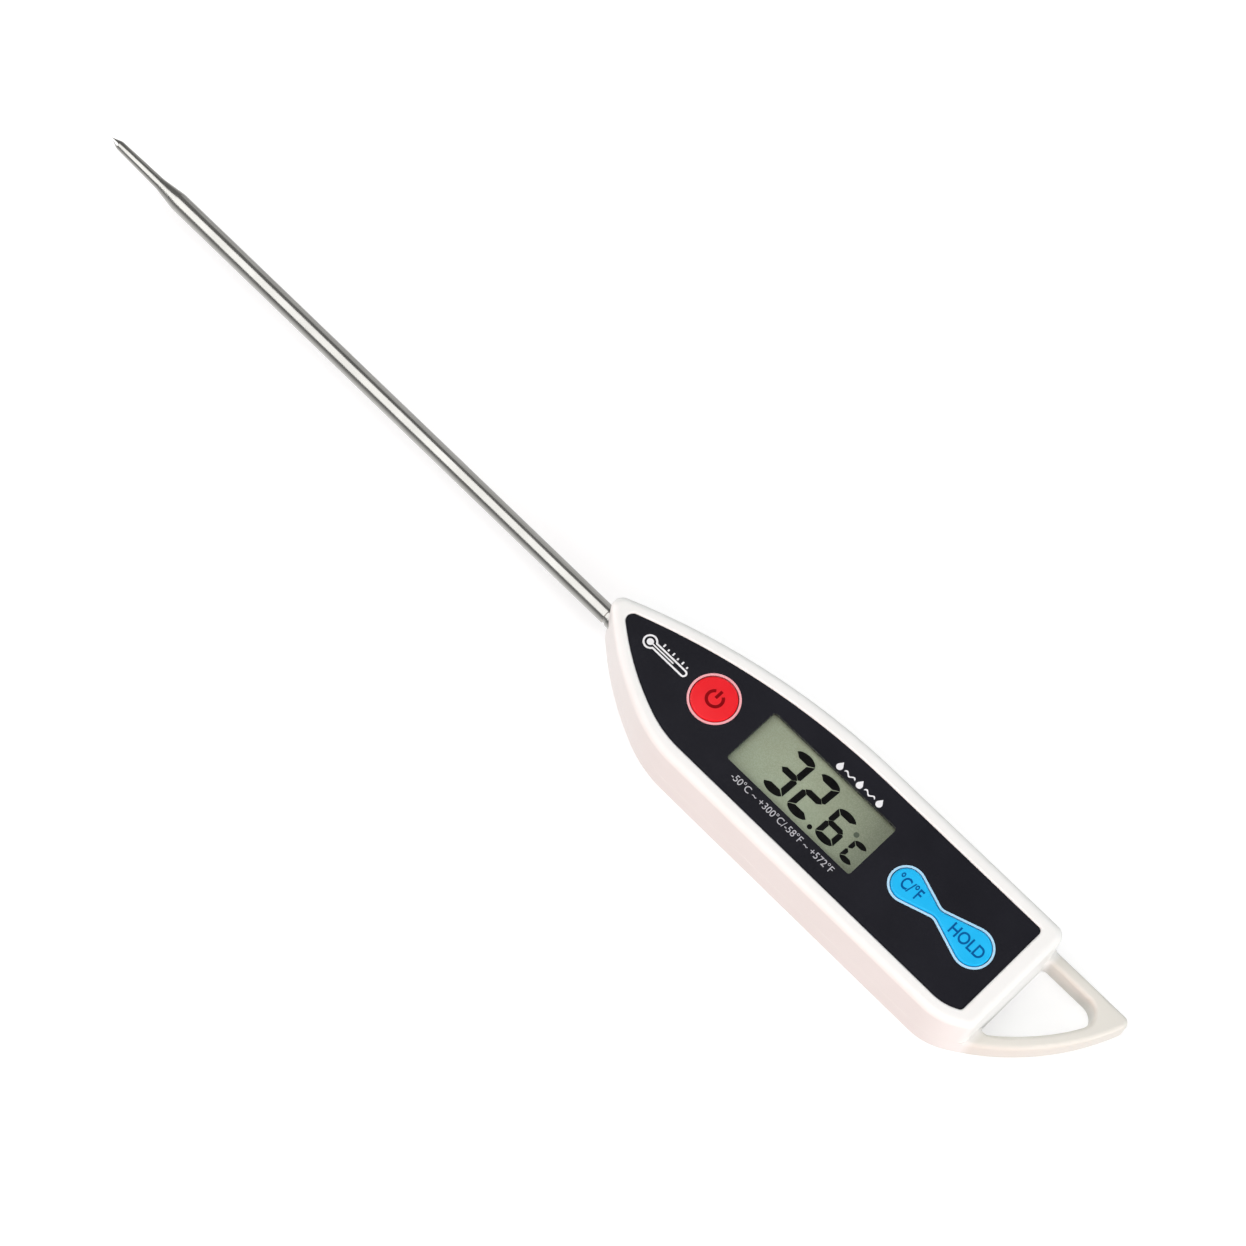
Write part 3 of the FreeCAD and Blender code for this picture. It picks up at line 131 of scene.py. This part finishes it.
LOOKS = {
    # white_shell turns to a darker ivory from the rear wall over the hanging loop: partly the loop's own
    # ivory tone, partly painted shade where the body shades the loop.
    "white_shell": dict(tones=[(0.83, 0.83, 0.81), (0.855, 0.855, 0.84)], rough=(0.30, 0.42), grain=0.35,
                        bump=0.0015, passes=((0.71, 0.695, 0.64), (1, 0, 0), 102.8, 104.6)),
    "black_facing": dict(tones=[(0.008, 0.008, 0.012), (0.011, 0.011, 0.016)], rough=(0.12, 0.20), grain=0.5,
                         bump=0.001),
    "clear_window": dict(tones=[(0.02, 0.02, 0.02), (0.03, 0.03, 0.03)], rough=(0.03, 0.06), grain=2.0,
                         bump=0.0003, Alpha=0.04, Specular_IOR_Level=0.35),
    # lcd_glass turns darker towards the far right corner of the display, from X = 48 to 66 mm: painted shade.
    "lcd_glass": dict(tones=[(0.345, 0.39, 0.275), (0.373, 0.427, 0.308)], rough=(0.22, 0.32), grain=0.25,
                      bump=0.0006, mottle=5.0, passes=((0.25, 0.283, 0.2), (0.9, 0.43, 0), 48, 66)),
    "reflector": dict(tones=[(0.55, 0.56, 0.52), (0.6, 0.61, 0.57)], rough=(0.35, 0.5), grain=0.2,
                      bump=0.001),
    "white_inner": dict(tones=[(0.75, 0.75, 0.73), (0.8, 0.8, 0.78)], rough=(0.4, 0.55), grain=0.3,
                        bump=0.002),
    "white_silicone": dict(tones=[(0.83, 0.81, 0.81), (0.87, 0.86, 0.86)], rough=SILICONE_ROUGH, grain=0.2,
                           bump=0.0015),
    "red_key": dict(tones=[(0.77, 0.008, 0.015), (0.81, 0.012, 0.021)], rough=KEY_ROUGH, grain=0.22,
                    bump=0.0015, mottle=4.0, Specular_IOR_Level=0.3),
    "blue_key": dict(tones=[(0.004, 0.43, 0.82), (0.010, 0.47, 0.87)], rough=KEY_ROUGH, grain=0.22,
                     bump=0.0015, mottle=4.0, Specular_IOR_Level=0.3),
    "probe_steel": dict(tones=[(0.60, 0.59, 0.56), (0.68, 0.67, 0.64)], rough=(0.14, 0.26), grain=0.12,
                        bump=0.0006, stretch=(60, 1, 1), mottle=6.0, Metallic=1.0),
    "screw_steel": dict(tones=[(0.45, 0.45, 0.45), (0.55, 0.55, 0.54)], rough=(0.25, 0.4), grain=0.15,
                        bump=0.001, Metallic=1.0),
    "contact_steel": dict(tones=[(0.6, 0.59, 0.55), (0.7, 0.69, 0.65)], rough=(0.2, 0.35), grain=0.2,
                          bump=0.001, Metallic=1.0),
    "cell_steel": dict(tones=[(0.6, 0.6, 0.6), (0.7, 0.7, 0.69)], rough=(0.2, 0.3), grain=0.15,
                       bump=0.0008, Metallic=1.0),
    "collar_brass": dict(tones=[(0.7, 0.5, 0.2), (0.78, 0.57, 0.26)], rough=(0.25, 0.4), grain=0.2,
                         bump=0.001, Metallic=1.0),
    "contact_gold": dict(tones=[(0.85, 0.6, 0.25), (0.9, 0.66, 0.3)], rough=(0.2, 0.35), grain=0.2,
                         bump=0.0006, Metallic=1.0),
    "carbon_pill": dict(tones=[(0.02, 0.02, 0.02), (0.035, 0.035, 0.035)], rough=(0.6, 0.8), grain=0.1,
                        bump=0.003),
    "black_rubber": dict(tones=[(0.018, 0.018, 0.018), (0.03, 0.03, 0.03)], rough=(0.55, 0.75), grain=0.15,
                         bump=0.003),
    "board_green": dict(tones=[(0.01, 0.13, 0.05), (0.02, 0.18, 0.07)], rough=(0.25, 0.45), grain=0.4,
                        bump=0.004),
    "black_epoxy": dict(tones=[(0.01, 0.01, 0.01), (0.02, 0.02, 0.02)], rough=(0.2, 0.4), grain=0.6,
                        bump=0.01),
    "ceramic_parts": dict(tones=[(0.35, 0.27, 0.18), (0.45, 0.36, 0.26)], rough=(0.4, 0.6), grain=0.2,
                          bump=0.002),
    "adhesive": dict(tones=[(0.5, 0.5, 0.46), (0.6, 0.6, 0.56)], rough=(0.5, 0.7), grain=0.3, bump=0.003),
    "bead_glass": dict(tones=[(0.25, 0.05, 0.02), (0.35, 0.08, 0.04)], rough=(0.08, 0.15), grain=0.2,
                       bump=0.0005),
    "lead_red": dict(tones=[(0.55, 0.02, 0.02), (0.65, 0.03, 0.03)], rough=(0.4, 0.55), grain=0.1,
                     bump=0.001),
    "lead_black": dict(tones=[(0.015, 0.015, 0.015), (0.03, 0.03, 0.03)], rough=(0.4, 0.55), grain=0.1,
                       bump=0.001),
    "potting_resin": dict(tones=[(0.1, 0.1, 0.11), (0.16, 0.16, 0.17)], rough=(0.3, 0.5), grain=0.2,
                          bump=0.002),
    "rose_silicone": dict(tones=[(0.84, 0.36, 0.39), (0.88, 0.42, 0.45)], rough=SILICONE_ROUGH, grain=0.2,
                          bump=0.0015),
    "pale_blue_silicone": dict(tones=[(0.38, 0.66, 0.86), (0.44, 0.71, 0.90)], rough=SILICONE_ROUGH,
                               grain=0.2, bump=0.0015),
    "segment_ink": dict(tones=[(0.0005, 0.0005, 0.0005), (0.001, 0.001, 0.001)], rough=INK_ROUGH, grain=0.2,
                        bump=0.0005, Specular_IOR_Level=0.15),
    "weak_ink": dict(tones=[(0.09, 0.11, 0.08), (0.12, 0.15, 0.11)], rough=INK_ROUGH, grain=0.2,
                     bump=0.0005, Specular_IOR_Level=0.15),
    "grey_print": dict(tones=[(0.40, 0.40, 0.43), (0.48, 0.48, 0.51)], rough=PRINT_ROUGH, grain=0.15,
                       bump=0.001, mottle=3.0),
    "white_print": dict(tones=[(0.74, 0.74, 0.76), (0.82, 0.82, 0.84)], rough=PRINT_ROUGH, grain=0.15,
                        bump=0.001, mottle=3.0),
    "dark_red": dict(tones=[(0.20, 0.0, 0.002), (0.26, 0.001, 0.004)], rough=INK_ROUGH, grain=0.15,
                     bump=0.001, mottle=2.0, Specular_IOR_Level=0.1),
    "dark_blue": dict(tones=[(0.0, 0.08, 0.27), (0.0, 0.10, 0.32)], rough=INK_ROUGH, grain=0.15,
                      bump=0.001, mottle=2.0, Specular_IOR_Level=0.1),
    "paper": dict(tones=[(0.49, 0.49, 0.49), (0.51, 0.51, 0.51)], rough=(0.85, 0.95), grain=1.5,
                  bump=0.004, mottle=60.0, Emission_Color=(1, 1, 1, 1), Emission_Strength=FLOOR_GLOW),
}

TINTED_NODES = {"power_key_membrane": "rose_silicone", "mode_key_membrane": "pale_blue_silicone"}


# ---- materials ----
def noise(nodes, links, coordinates, grain, detail=3.0):
    """Noise with features about grain millimetres across."""
    made = nodes.new("ShaderNodeTexNoise")
    made.inputs["Scale"].default_value = 1 / (grain * MM)
    made.inputs["Detail"].default_value = detail
    made.inputs["Roughness"].default_value = 0.55
    links.new(coordinates, made.inputs["Vector"])
    return made.outputs["Fac"]


def spread(nodes, links, value, low, high):
    """The middle part of a noise, mapped to run from low to high."""
    made = nodes.new("ShaderNodeMapRange")
    made.inputs["From Min"].default_value = NOISE_LOW
    made.inputs["From Max"].default_value = NOISE_HIGH
    made.inputs["To Min"].default_value = low
    made.inputs["To Max"].default_value = high
    links.new(value, made.inputs["Value"])
    return made.outputs["Result"]


def tone_mix(nodes, links, factor):
    """A mix of two colours, still to be filled in."""
    made = nodes.new("ShaderNodeMix")
    made.data_type = "RGBA"
    links.new(factor, made.inputs["Factor"])
    return made


def passing(nodes, links, place, direction, start, end):
    """A factor that grows from 0 to 1 between two distances, in millimetres, along a direction."""
    along = nodes.new("ShaderNodeVectorMath")
    along.operation = "DOT_PRODUCT"
    along.inputs[1].default_value = direction
    links.new(place, along.inputs[0])
    made = nodes.new("ShaderNodeMapRange")
    made.interpolation_type = "SMOOTHSTEP"
    made.inputs["From Min"].default_value = start * MM
    made.inputs["From Max"].default_value = end * MM
    links.new(along.outputs["Value"], made.inputs["Value"])
    return made.outputs["Result"]


def finish(name, tones, rough, grain, bump, stretch=(1, 1, 1), mottle=9.0, passes=None, **sockets):
    """A material whose colour drifts between two tones, with a fine grain in its gloss and its relief.

    mottle is how far apart the tones lie, in millimetres, and stretch makes the grain longer along an
    axis, as on drawn metal. passes is (tone, direction, start, end): the colour turns into that tone
    along the object. Other sockets get plain values."""
    made = bpy.data.materials.new(name)
    made.use_nodes = True
    nodes, links = made.node_tree.nodes, made.node_tree.links
    shader = nodes["Principled BSDF"]
    place = nodes.new("ShaderNodeTexCoord").outputs["Object"]
    mapping = nodes.new("ShaderNodeMapping")
    mapping.inputs["Scale"].default_value = [1 / part for part in stretch]
    links.new(place, mapping.inputs["Vector"])
    fine = noise(nodes, links, mapping.outputs["Vector"], grain)
    broad = noise(nodes, links, place, mottle, detail=2.0)

    mix = tone_mix(nodes, links, spread(nodes, links, broad, 0, 1))
    mix.inputs["A"].default_value = (*tones[0], 1)
    mix.inputs["B"].default_value = (*tones[1], 1)
    # passes paints shade into the colour: the darker hanging loop of the shell, which is partly its ivory
    # tone, and the darker far corner of the display.
    if passes:
        tone, direction, start, end = passes
        further = tone_mix(nodes, links, passing(nodes, links, place, direction, start, end))
        links.new(mix.outputs["Result"], further.inputs["A"])
        further.inputs["B"].default_value = (*tone, 1)
        mix = further
    links.new(mix.outputs["Result"], shader.inputs["Base Color"])
    links.new(spread(nodes, links, fine, *rough), shader.inputs["Roughness"])

    relief = nodes.new("ShaderNodeBump")
    relief.inputs["Strength"].default_value = 1.0
    relief.inputs["Distance"].default_value = bump * MM
    links.new(fine, relief.inputs["Height"])
    links.new(relief.outputs["Normal"], shader.inputs["Normal"])
    for socket, value in sockets.items():
        shader.inputs[socket.replace("_", " ")].default_value = value
    return made


def dress_nodes():
    """Gives every CAD node the finish of its slot, or its own tint."""
    for name, node in frame["nodes"].items():
        for place in node.material_slots:
            slot = place.material.name.split(".")[0]
            place.material = FINISHES[TINTED_NODES.get(name, slot)]


# ---- building pieces ----
def add_piece(name, mesh, body, look):
    piece = bpy.data.objects.new(name, mesh)
    bpy.context.scene.collection.objects.link(piece)
    mesh.materials.clear()
    mesh.materials.append(FINISHES[look])
    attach(piece, body)
    return piece


def mesh_of(curve):
    """The mesh of a curve or text, which is then removed."""
    made = bpy.data.objects.new("drawing", curve)
    bpy.context.scene.collection.objects.link(made)
    bpy.context.view_layer.update()
    mesh = bpy.data.meshes.new_from_object(made.evaluated_get(bpy.context.evaluated_depsgraph_get()))
    bpy.data.objects.remove(made)
    bpy.data.curves.remove(curve)
    return mesh


def flat_mark(name, outlines, bottom, depth, body, look):
    """A thin flat mark: closed outlines in millimetres, where an outline inside another is a hole."""
    curve = bpy.data.curves.new(name, "CURVE")
    curve.dimensions = "2D"
    curve.fill_mode = "BOTH"
    curve.extrude = depth * MM / 2
    for outline in outlines:
        spline = curve.splines.new("POLY")
        spline.points.add(len(outline) - 1)
        for point, (x, y) in zip(spline.points, outline):
            point.co = (x * MM, y * MM, 0, 1)
        spline.use_cyclic_u = True
    mesh = mesh_of(curve)
    mesh.transform(Matrix.Translation((0, 0, bottom + depth * MM / 2)))
    return add_piece(name, mesh, body, look)


def text_mark(name, words, across, up, bottom, body, look, weight=0.0):
    """Lettering fitted to a rectangle in millimetres. weight makes its strokes bolder."""
    curve = bpy.data.curves.new(name, "FONT")
    curve.body = words
    curve.extrude = 0.5
    curve.offset = weight
    mesh = mesh_of(curve)
    left, right = across
    low, high = up
    drawn = [[vertex.co[axis] for vertex in mesh.vertices] for axis in (0, 1)]
    (x0, x1), (y0, y1) = [(min(values), max(values)) for values in drawn]
    for vertex in mesh.vertices:
        x, y, z = vertex.co
        vertex.co = ((left + (x - x0) / (x1 - x0) * (right - left)) * MM,
                     (low + (y - y0) / (y1 - y0) * (high - low)) * MM, bottom + (z + 0.5) * PRINT_DEPTH * MM)
    return add_piece(name, mesh, body, look)


def circle(x, y, radius, count=32):
    angles = [2 * math.pi * i / count for i in range(count)]
    return [(x + radius * math.cos(a), y + radius * math.sin(a)) for a in angles]


def arc(x, y, radius, start, end, count):
    """Points along an arc, with angles in degrees."""
    angles = [math.radians(start + (end - start) * i / count) for i in range(count + 1)]
    return [(x + radius * math.cos(a), y + radius * math.sin(a)) for a in angles]


def bar(x0, x1, y0, y1):
    return [(x0, y0), (x1, y0), (x1, y1), (x0, y1)]


# ---- display ----
def lens_bar(x0, x1, outer, inner, stroke):
    """A level bar at the top or bottom of a digit, whose outer edge is bowed."""
    shoulder = inner + (outer - inner) * SHOULDER_SHARE
    bowed = []
    for i in range(BOW_STEPS + 1):
        part = i / BOW_STEPS
        bow = math.sin(math.pi * part) ** BOW_POWER
        bowed.append((x0 + (x1 - x0) * part, shoulder + (outer - shoulder) * bow))
    return bowed + [(x1 - TIP_INSET * stroke, inner), (x0 + TIP_INSET * stroke, inner)]


def side_bar(outer, inner, end, middle):
    """An upright bar from a digit's end to its middle. outer and inner are its x, end and middle its y."""
    upward = abs(outer - inner) if end > middle else -abs(outer - inner)
    point = outer + (inner - outer) * POINT_ACROSS
    return [(outer, end - OUTER_END * upward), (outer, middle + OUTER_MIDDLE * upward),
            (point, middle + POINT_MIDDLE * upward),
            (inner, middle + INNER_MIDDLE * upward), (inner, end - INNER_END * upward)]


def middle_bar(x0, x1, y, stroke):
    """The level bar in the middle of a digit, pointed at both ends."""
    tip, inset, half = MIDDLE_TIP * stroke, TIP_INSET * stroke, LEVEL_HALF * stroke
    return [(x0 + tip, y), (x0 + inset, y + half), (x1 - inset, y + half),
            (x1 - tip, y), (x1 - inset, y - half), (x0 + inset, y - half)]


def digit(bars, across, up, stroke, slant):
    """Outlines of the lit bars of a seven-segment digit. bars uses the usual letters a to g."""
    x0, x1 = across
    y0, y1 = up
    middle = (y0 + y1) / 2
    cap = stroke * CAP_HEIGHT
    shapes = {
        "a": lens_bar(x0 + LEVEL_INSET, x1 - LEVEL_INSET, y1, y1 - cap, stroke),
        "b": side_bar(x1, x1 - stroke, y1, middle),
        "c": side_bar(x1, x1 - stroke, y0, middle),
        "d": lens_bar(x0 + LEVEL_INSET, x1 - LEVEL_INSET, y0, y0 + cap, stroke),
        "e": side_bar(x0, x0 + stroke, y0, middle),
        "f": side_bar(x0, x0 + stroke, y1, middle),
        "g": middle_bar(x0, x1, middle, stroke),
    }
    return [[(x + slant * (y - y0), y) for x, y in shapes[letter]] for letter in bars]


def make_display():
    """The lit segments of the display, just above its glass."""
    glass_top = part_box("lcd_cell")[1].z
    large = (-4.5, 5.1)
    marks = {
        "digit_tens": digit("abgcd", across=(48.6, 52.95), up=large, stroke=1.2, slant=0.045),
        "digit_units": digit("abged", across=(54.15, 58.65), up=large, stroke=1.2, slant=0.06),
        "decimal_point": [circle(59.9, -4.05, radius=0.46)],
        "digit_tenths": digit("afgedc", across=(60.85, 64.95), up=(-4.5, 2.7), stroke=1.04, slant=0.03),
        "unit_letter": digit("afed", across=(66.6, 69.4), up=(-4.4, 0.35), stroke=0.8, slant=0.05),
    }
    for name, outlines in marks.items():
        flat_mark(name, outlines, glass_top, INK_DEPTH, "case", "segment_ink")
    dot = circle(66.35, 0.7, radius=0.5)
    flat_mark("degree_dot", [dot], glass_top, INK_DEPTH, "case", "weak_ink")


# ---- prints on the face panel ----
def thermometer_sign(x0, x1, y):
    """A lying thermometer: a bulb on the left, a stem with a column in it, and ticks above."""
    bulb, stem, line = 1.35, 0.72, 0.34
    mercury_bulb, mercury_half, mercury_short = 0.62, 0.13, 3.2
    tick_start, tick_step, tick_half, tick_foot = 2.2, 1.1, 0.15, 0.95
    tick_tops = (1.55, 1.35)
    join = math.degrees(math.asin(stem / bulb))
    centre = x0 + bulb
    outer = arc(centre, y, bulb, join, 360 - join, 32) + arc(x1 - stem, y, stem, -90, 90, 12)
    inside = math.degrees(math.asin((stem - line) / (bulb - line)))
    hollow = arc(centre, y, bulb - line, inside, 360 - inside, 32)
    hollow += arc(x1 - stem, y, stem - line, -90, 90, 12)
    mercury = arc(centre, y, mercury_bulb, 12, 348, 24)
    mercury += arc(x1 - mercury_short, y, mercury_half, -90, 90, 6)
    ticks = []
    for step in range(6):
        x = centre + tick_start + tick_step * step
        ticks.append(bar(x - tick_half, x + tick_half, y + tick_foot, y + tick_tops[step % 2]))
    return [outer, hollow, mercury] + ticks


def drop_sign(x, y, size):
    """A water drop with its point up."""
    radius = size * 0.36
    low = y - size / 2 + radius
    neck, neck_height = radius * 0.35, low + radius * 1.25
    point = [(x + neck, neck_height), (x, y + size / 2), (x - neck, neck_height)]
    return arc(x, low, radius, -215, 35, 20) + point


def wave_sign(x0, x1, y, height, line):
    """A level wavy line of one and a half waves."""
    count = 24
    crest = [(x0 + (x1 - x0) * i / count, y + height / 2 * math.sin(3 * math.pi * i / count))
             for i in range(count + 1)]
    return [(x, v + line / 2) for x, v in crest] + [(x, v - line / 2) for x, v in reversed(crest)]


def make_prints():
    """White and grey prints on the face panel."""
    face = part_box("face_panel")[1].z
    sign = thermometer_sign(16.9, 26.9, -0.5)
    flat_mark("print_thermometer", sign, face, PRINT_DEPTH, "case", "white_print")
    pitch = 4.6
    water = [drop_sign(56.2 + pitch * step, 7.1, size=1.7) for step in range(3)]
    water += [wave_sign(57.3 + pitch * step, 59.7 + pitch * step, 6.95, height=0.5, line=0.3)
              for step in range(2)]
    flat_mark("print_drops", water, face, PRINT_DEPTH, "case", "white_print")
    words = f"-50{DEGREE}C ~ +300{DEGREE}C/-58{DEGREE}F ~ +572{DEGREE}F"
    text_mark("print_range", words, (44.8, 68.2), (-8.1, -6.75), face, "case", "grey_print")


# ---- marks on the keys ----
def make_key_marks():
    """The power symbol and the two labels of the bow-tie key."""
    low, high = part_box("power_key")
    aside = 0.1
    x, y = (low.x + high.x) / 2 / MM + aside, (low.y + high.y) / 2 / MM
    ring_outer, ring_inner = 1.74, 1.18
    gap_end, gap_start = 125, 415
    stem_half, stem_foot, stem_top = 0.27, 0.2, 1.85
    ring = arc(x, y, ring_outer, gap_end, gap_start, 40) + arc(x, y, ring_inner, gap_start, gap_end, 40)
    stem = bar(x - stem_half, x + stem_half, y + stem_foot, y + stem_top)
    flat_mark("power_symbol", [ring, stem], high.z - SYMBOL_DEPTH * MM, SYMBOL_DEPTH + PRINT_DEPTH,
              "power_key", "dark_red")
    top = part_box("mode_key")[1].z
    text_mark("label_units", f"{DEGREE}C/{DEGREE}F", (76.6, 81.6), (-1.2, 1.2), top, "mode_key",
              "dark_blue", LABEL_WEIGHT)
    text_mark("label_hold", "HOLD", (88.6, 95.7), (-1.15, 1.15), top, "mode_key",
              "dark_blue", LABEL_WEIGHT)


# ---- probe ----
def probe_profile(tip, end, radius, groove):
    """Distance along X and radius of each ring of the tube, from its tip to the bore at its open end."""
    floor = radius - GROOVE_DEPTH
    bore = radius - TUBE_WALL
    rings = [(tip + x, r) for x, r in NEEDLE] + [(tip + SHAFT_START, radius)]
    rings += [(tip + x, radius) for x in SHAFT_RINGS]
    rings += [(groove, radius), (groove + GROOVE_SLOPE, floor),
              (groove + GROOVE_LENGTH - GROOVE_SLOPE, floor), (groove + GROOVE_LENGTH, radius)]
    return rings + [(end, radius), (end, bore), (end - BORE_SHOWN, bore)]


def make_probe():
    """The steel tube, turned with soft transitions at its needle and at the rolled groove."""
    low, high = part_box("probe_tube")
    shaft = next(m for m in frame["record"]["mounts"] if m["name"] == "probe_shaft")
    axis_y, axis_z = shaft["pos_m"][1], shaft["pos_m"][2]
    groove = shaft["pos_m"][0] / MM + shaft["dims"]["length_mm"] / 2
    mesh = bpy.data.meshes.new("probe_tube_turned")
    made = bmesh.new()
    rings = []
    for x, r in probe_profile(low.x / MM, high.x / MM, shaft["dims"]["r_mm"], groove):
        around = circle(0, 0, r, SIDES_ROUND)
        rings.append([made.verts.new((x * MM, axis_y + u * MM, axis_z + v * MM)) for u, v in around])
    point = made.verts.new((low.x, axis_y, axis_z))
    for i in range(SIDES_ROUND):
        made.faces.new((point, rings[0][(i + 1) % SIDES_ROUND], rings[0][i]))
    for ring, following in zip(rings, rings[1:]):
        for i in range(SIDES_ROUND):
            beside = (i + 1) % SIDES_ROUND
            made.faces.new((ring[i], ring[beside], following[beside], following[i]))
    bmesh.ops.recalc_face_normals(made, faces=made.faces)
    made.to_mesh(mesh)
    made.free()
    mesh.shade_smooth()
    mesh.set_sharp_from_angle(angle=math.radians(SHARP_ANGLE))
    tube = add_piece("probe_tube_turned", mesh, "case", "probe_steel")
    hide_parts("probe_tube")


# ---- studio ----
def make_camera():
    data = bpy.data.cameras.new("camera")
    data.lens = LENS
    data.sensor_width = SENSOR
    data.clip_start = CLIP_START
    data.clip_end = CLIP_END
    camera = bpy.data.objects.new("camera", data)
    back = CAMERA_RIGHT.cross(CAMERA_UP)
    turn = Matrix((CAMERA_RIGHT, CAMERA_UP, back)).transposed().to_4x4()
    camera.matrix_world = Matrix.Translation(CAMERA_PLACE) @ turn
    bpy.context.scene.collection.objects.link(camera)
    bpy.context.scene.camera = camera


def soft_light(name, towards, distance, size, power, colour=(1, 1, 1), glossy=True):
    """A round soft light in the given direction from the middle of the object, facing it."""
    data = bpy.data.lights.new(name, "AREA")
    data.shape = "DISK"
    data.size = size
    data.energy = power
    data.color = colour
    light = bpy.data.objects.new(name, data)
    centre = (CAD_BOX[0] + CAD_BOX[1]) / 2
    direction = Vector(towards).normalized()
    light.location = centre + direction * distance
    light.rotation_euler = direction.to_track_quat("Z", "Y").to_euler()
    light.visible_camera = False
    light.visible_glossy = glossy
    bpy.context.scene.collection.objects.link(light)


def make_lights():
    """The tube mirrors the overhead light and the needle's point the nose light. Others light the plastic."""
    soft_light("overhead", towards=(-0.22, -0.40, 0.89), distance=0.9, size=1.37, power=6.0)
    soft_light("top_fill", towards=(0.0, 0.0, 1.0), distance=0.9, size=0.6, power=1.3, glossy=False)
    soft_light("far_fill", towards=(-0.1, 0.95, 0.28), distance=0.9, size=0.9, power=0.7)
    soft_light("far_wash", towards=(0.1, 1.0, 0.3), distance=0.9, size=0.6, power=1.4, glossy=False)
    soft_light("rear_fill", towards=(0.92, -0.15, 0.3), distance=0.8, size=0.5, power=4.4, glossy=False)
    soft_light("nose_fill", towards=(-0.92, -0.35, 0.2), distance=0.8, size=0.5, power=2.8)
    soft_light("near_blush", towards=(0.2, -0.98, 0.1), distance=0.7, size=0.5, power=1.85,
               colour=(1.0, 0.45, 0.37), glossy=False)


def make_world():
    """A grey room, dark above its horizon and lighter towards the floor, which bright metal reflects."""
    world = bpy.data.worlds.new("studio")
    world.use_nodes = True
    nodes, links = world.node_tree.nodes, world.node_tree.links
    place = nodes.new("ShaderNodeTexCoord").outputs["Generated"]
    split = nodes.new("ShaderNodeSeparateXYZ")
    height = nodes.new("ShaderNodeMapRange")
    height.inputs["From Min"].default_value = -1
    ramp = nodes.new("ShaderNodeValToRGB")
    links.new(place, split.inputs["Vector"])
    links.new(split.outputs["Z"], height.inputs["Value"])
    links.new(height.outputs["Result"], ramp.inputs["Fac"])
    stops = [(0.0, 0.95), (0.33, 0.55), (0.5, 0.26), (0.62, 0.15)]
    for _ in stops[2:]:
        ramp.color_ramp.elements.new(0.5)
    for element, (position, grey) in zip(ramp.color_ramp.elements, stops):
        element.position = position
        element.color = (grey, grey, grey, 1)
    links.new(ramp.outputs["Color"], nodes["Background"].inputs["Color"])
    bpy.context.scene.world = world


def make_floor():
    """A plain pale floor. It glows so that it stays white, and neither lights the object nor shows in it."""
    mesh = bpy.data.meshes.new("floor")
    corners = bar(-FLOOR_HALF, FLOOR_HALF, -FLOOR_HALF, FLOOR_HALF)
    mesh.from_pydata([(x, y, 0) for x, y in corners], [], [(0, 1, 2, 3)])
    floor = bpy.data.objects.new("floor", mesh)
    floor.location.z = CAD_BOX[0].z - FLOOR_GAP * MM
    bpy.context.scene.collection.objects.link(floor)
    floor.visible_glossy = False
    floor.visible_diffuse = False
    mesh.materials.append(FINISHES["paper"])


FINISHES = {name: finish(name, **look) for name, look in LOOKS.items()}
dress_nodes()
make_display()
make_prints()
make_key_marks()
make_probe()
make_camera()
make_world()
make_floor()
make_lights()
bpy.context.scene.view_settings.view_transform = "Standard"
